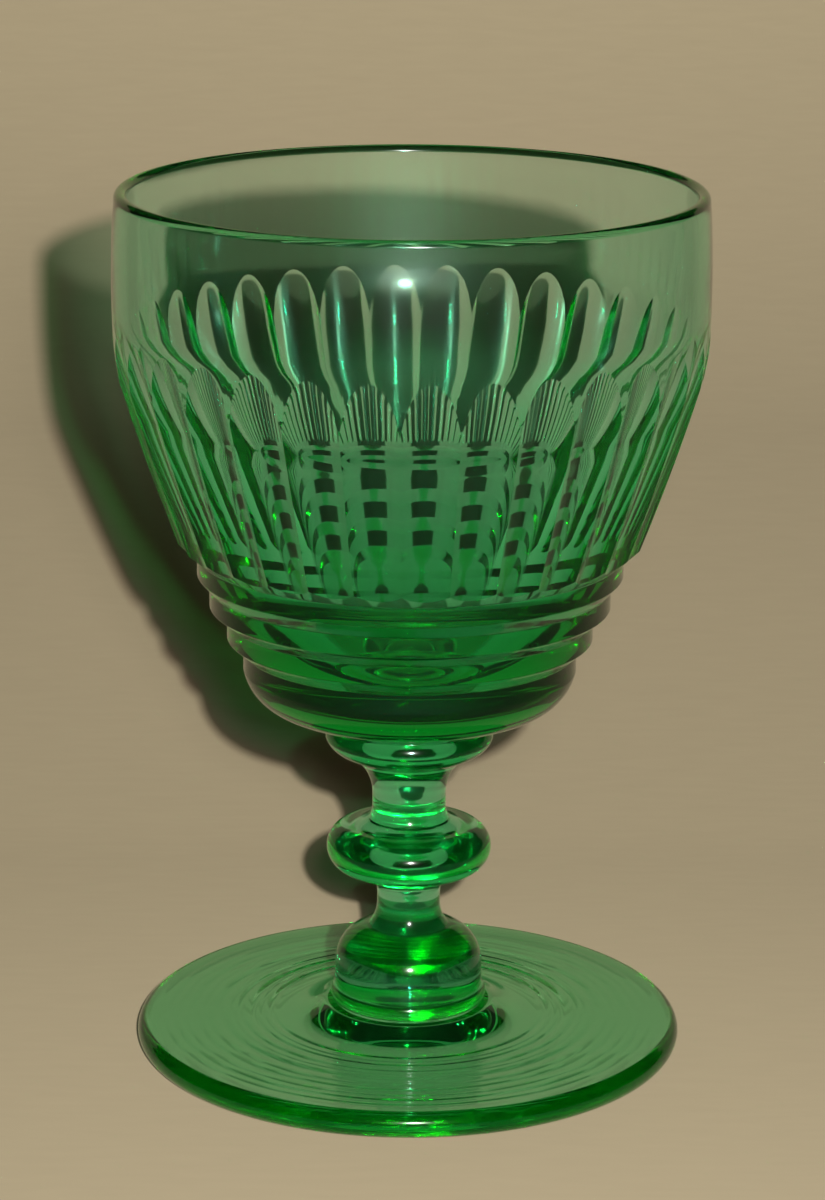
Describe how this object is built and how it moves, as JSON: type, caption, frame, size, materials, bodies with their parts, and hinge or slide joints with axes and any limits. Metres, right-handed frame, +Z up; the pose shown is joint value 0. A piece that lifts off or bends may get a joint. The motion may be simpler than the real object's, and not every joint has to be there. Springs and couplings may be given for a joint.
{
  "type": "cut glass rummer",
  "caption": "Green cut-glass rummer: a deep fluted bowl with cut steps, on a collared, knopped short stem and a wide round foot.",
  "frame": {"origin": "centre of the foot's underside, on the table", "axes": "+Z up along the axis of the bowl and stem; -Y is the front of the view it was built from, +X to the right"},
  "size_m": [0.0868, 0.0868, 0.13],
  "materials": {
    "green_glass": "polished, clear, tinted green in the mass",
    "pale_glass": "polished, clear, paler green"
  },
  "bodies": {
    "root": {"foot": "green_glass", "foot_collar": "pale_glass", "base_dome": "green_glass", "lower_shank": "green_glass", "stem_knop": "green_glass", "upper_shank": "green_glass", "bowl_collar": "green_glass", "bowl": "green_glass"}
  },
  "joints": []
}
